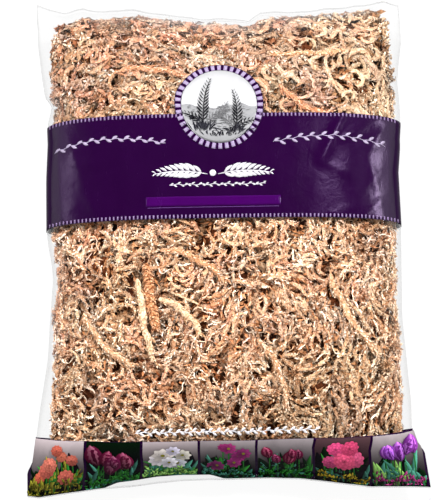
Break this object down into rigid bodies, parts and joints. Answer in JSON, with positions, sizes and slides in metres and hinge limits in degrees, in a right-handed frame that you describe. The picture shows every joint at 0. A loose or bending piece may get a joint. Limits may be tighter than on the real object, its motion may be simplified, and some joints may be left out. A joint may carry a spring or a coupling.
{
  "type": "bag of dried sphagnum moss",
  "caption": "Clear film pillow bag with a printed band, badge and bottom strip, packed with a tangled mass of dried sphagnum moss stems, lying on its back.",
  "frame": {"origin": "centre of the bounding box's lower face, on the floor under the middle of the bag", "axes": "+Y from the bottom seal to the top seal, +X to the right seen from the front, +Z out of the front of the bag, away from the floor"},
  "size_m": [0.2404, 0.298, 0.0764],
  "materials": {
    "clear_film": "clear glossy film",
    "band_print": "dark purple ink on glossy film",
    "badge_print": "pale grey ink on glossy film",
    "title_print": "bright purple ink on glossy film",
    "strip_print": "coloured garden print on glossy film",
    "moss": "dry, matt, tan with pink and brown",
    "pale_moss": "dry, matt, cream"
  },
  "bodies": {
    "root": {"film_bag": "clear_film", "printed_band": "band_print", "badge": "badge_print", "title_bar": "title_print", "printed_strip": "strip_print", "moss_mass": "moss", "moss_stem_1": "pale_moss", "moss_stem_2": "pale_moss", "moss_stem_3": "pale_moss", "moss_stem_4": "pale_moss", "moss_stem_5": "pale_moss", "moss_stem_6": "pale_moss", "moss_stem_7": "pale_moss", "moss_stem_8": "pale_moss", "moss_stem_9": "pale_moss"}
  },
  "joints": []
}
